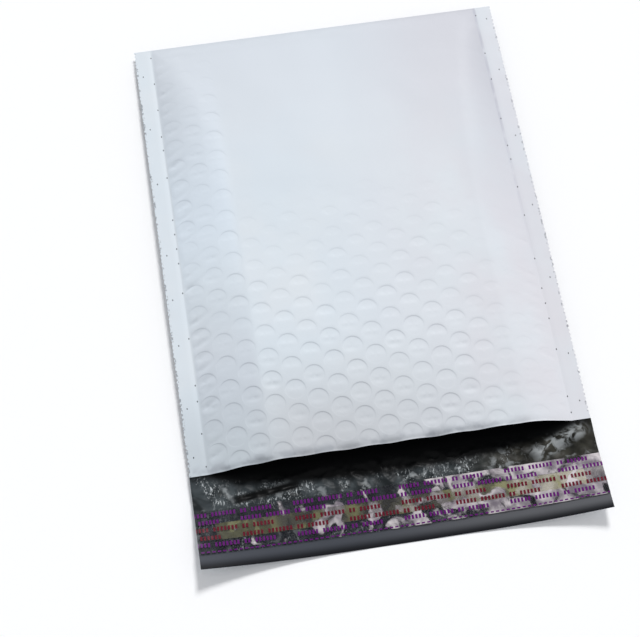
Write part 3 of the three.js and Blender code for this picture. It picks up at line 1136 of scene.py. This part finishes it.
PRINT_ROWS = (1.95, 5.9, 9.8, 14.0, 17.6)  # from the liner's upper edge
PRINT_HEIGHT = 2.1
PRINT_PERIOD = 52
PRINT_ORIGIN = 200
PRINT_SHIFT = (8, 34, 8, 34, 8)
PRINT_RED = (2, 3)
BAR_PITCH = 1.75
BAR_WIDTH = 1.05
BARS = 24  # places for bars in one run
BLANKS = (6, 14, 17)  # places without one
EDGE_ROW = 21.2
EDGE_DASH = 2.6


def printed_row(g, x, down, number):
    """1 on a row of small printed bars, all alike."""
    run = g.math("WRAP", g.math("ADD", x, PRINT_ORIGIN + PRINT_SHIFT[number]), PRINT_PERIOD, 0)
    level = g.math("SUBTRACT", down, PRINT_ROWS[number])
    place = g.math("FLOOR", g.math("DIVIDE", run, BAR_PITCH))
    mask = g.math("COMPARE", level, 0, PRINT_HEIGHT / 2)
    mask = g.times(mask, g.math("LESS_THAN", place, BARS))
    for blank in BLANKS:
        mask = g.times(mask, g.math("SUBTRACT", 1, g.math("COMPARE", place, blank, 0.5)))
    return g.times(mask, g.math("LESS_THAN", g.math("WRAP", run, BAR_PITCH, 0), BAR_WIDTH))


def liner_film():
    g = Graph("liner_film")
    vector, x, y = g.plan()
    down = g.math("SUBTRACT", g.math("MULTIPLY", y, -1), LINER_START)
    # Clear film with pale patches, more of them to the right: partly milky film, partly painted
    # reflection
    level = g.math("MULTIPLY_ADD", g.between(x, -80, 65), -0.2, 0.61)
    haze_and_sheen = g.between(g.noise(vector, 12, 4, 0.9), level, g.math("ADD", level, 0.09))
    cloudy = g.between(g.noise(vector, 7, 3, 0.5), 0.3, 0.7)
    pale = g.mix(cloudy, colour(136, 127, 137), colour(220, 213, 214))
    base = g.mix(haze_and_sheen, colour(44, 45, 52), pale)
    alpha = g.math("MULTIPLY_ADD", haze_and_sheen, 0.36, 0.24)
    alpha = g.math("ADD", alpha, g.times(cloudy, haze_and_sheen, 0.25))
    # It is clearer where it sticks to the adhesive
    off_band = g.math("ABSOLUTE", g.math("SUBTRACT", down, (LINER_END - LINER_START) / 2))
    stuck = g.between(off_band, ADHESIVE_WIDTH / 2 + 0.2, ADHESIVE_WIDTH / 2 - 0.2)
    stuck = g.times(stuck, g.between(g.noise(vector, 10, 2, 0.4), 0.44, 0.5))
    alpha = g.times(alpha, g.math("MULTIPLY_ADD", stuck, -0.7, 1))
    # Rows of printed bars, and dashes along its edge
    rows = [printed_row(g, x, down, number) for number in range(len(PRINT_ROWS))]
    dash = g.math("LESS_THAN", g.math("WRAP", x, EDGE_DASH, 0), EDGE_DASH * 0.6)
    edge = g.times(g.math("COMPARE", down, EDGE_ROW, 0.35), dash)
    red = g.most(*(mask for number, mask in enumerate(rows) if number in PRINT_RED))
    purple = g.most(*(mask for number, mask in enumerate(rows) if number not in PRINT_RED), edge)
    base = g.tint(base, colour(94, 16, 106), purple)
    base = g.tint(base, colour(98, 12, 34), red)
    alpha = g.most(alpha, g.times(g.most(red, purple), 0.92))
    frost = g.bump(g.noise(vector, 1.1, 2), 0.06, 0.6)
    g.set(Base_Color=base, Alpha=alpha, Roughness=0.2, IOR=1.28, Normal=frost)
    return g.owner


SHARP_ANGLE = 62
scene = bpy.context.scene


def add(name, data):
    thing = bpy.data.objects.new(name, data)
    scene.collection.objects.link(thing)
    return thing


def make_piece(name, shell, materials, node):
    mesh = bpy.data.meshes.new(name)
    places = [(x * MM, (y + PLAN_SHIFT) * MM, z * MM) for x, y, z in shell.points]
    mesh.from_pydata(places, [], shell.faces)
    for material in materials:
        mesh.materials.append(material)
    mesh.polygons.foreach_set("material_index", shell.finishes)
    work = bmesh.new()
    work.from_mesh(mesh)
    bmesh.ops.recalc_face_normals(work, faces=work.faces)
    work.to_mesh(mesh)
    work.free()
    plan = mesh.attributes.new("plan", "FLOAT_VECTOR", "POINT")
    plan.data.foreach_set("vector", [c for point in shell.points for c in point])
    mesh.shade_smooth()
    mesh.set_sharp_from_angle(angle=math.radians(SHARP_ANGLE))
    piece = add(name, mesh)
    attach(piece, "root")
    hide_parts(node)
    return piece


make_piece("film_envelope", outer_film(), [white_film(), dark_film()], "outer_film")
lining_piece = make_piece(
    "bubble_layers", bubble_lining(), [bubble_film()], "bubble_lining"
)
make_piece("adhesive_band", adhesive_strip(), [adhesive()], "adhesive_strip")
make_piece("peel_off_liner", release_liner(), [liner_film()], "release_liner")

# Camera, at the photograph's angle. Angles are in degrees, lengths in millimetres and pixels.
IMAGE_WIDTH = 640
SENSOR_WIDTH = 36
CLIP_START = 10
FOCAL_PIXELS = 1600
CAMERA_AZIMUTH = -8.9
CAMERA_ELEVATION = 65.07
CAMERA_ROLL = -0.09
CAMERA_DISTANCE = 829.94
CAMERA_RIGHT = -19.38
CAMERA_UP = -25.86

azimuth = math.radians(CAMERA_AZIMUTH)
elevation = math.radians(CAMERA_ELEVATION)
back = Vector((math.sin(azimuth), -math.cos(azimuth), 0)) * math.cos(elevation)
back.z = math.sin(elevation)
level = Vector((math.cos(azimuth), math.sin(azimuth), 0))
turn = Matrix.Rotation(math.radians(CAMERA_ROLL), 3, back)
right = turn @ level
up = turn @ back.cross(level)
camera_data = bpy.data.cameras.new("camera")
camera_data.sensor_width = SENSOR_WIDTH
camera_data.lens = FOCAL_PIXELS / IMAGE_WIDTH * SENSOR_WIDTH
camera_data.clip_start = CLIP_START * MM
camera = add("camera", camera_data)
place = (back * CAMERA_DISTANCE + right * CAMERA_RIGHT + up * CAMERA_UP) * MM
camera.matrix_world = Matrix.Translation(place) @ Matrix((right, up, back)).transposed().to_4x4()
scene.camera = camera

# Floor and light
FLOOR_HALF = 3.0  # metres
FLOOR_GAP = 0.05 * MM
FLOOR_COLOUR = (0.99, 0.99, 0.99, 1)
floor_mesh = bpy.data.meshes.new("floor")
floor_corners = ((-1, -1), (1, -1), (1, 1), (-1, 1))
floor_places = [(x * FLOOR_HALF, y * FLOOR_HALF, -FLOOR_GAP) for x, y in floor_corners]
floor_mesh.from_pydata(floor_places, [], [(0, 1, 2, 3)])
floor_graph = Graph("floor")
floor_graph.set(Base_Color=FLOOR_COLOUR, Roughness=0.9)
floor_mesh.materials.append(floor_graph.owner)
floor = add("floor", floor_mesh)

SUN_FROM = Vector((0.30, 0.72, 0.66))
SUN_STRENGTH = 2.35
SUN_SPREAD = 14
AMBIENT = (0.51, 0.52, 0.54, 1)
sun_data = bpy.data.lights.new("key", "SUN")
sun_data.energy = SUN_STRENGTH
sun_data.angle = math.radians(SUN_SPREAD)
sun = add("key", sun_data)
sun.rotation_mode = "QUATERNION"
sun.rotation_quaternion = SUN_FROM.to_track_quat("Z", "Y")

sky = Graph("studio", bpy.data.worlds, "Background")
rays = sky.node("ShaderNodeLightPath").outputs
shown = sky.most(rays["Is Camera Ray"], rays["Is Glossy Ray"], rays["Is Transmission Ray"])
sky.set(Color=sky.mix(shown, AMBIENT, (1, 1, 1, 1)))
scene.world = sky.owner

scene.view_settings.view_transform = "Standard"
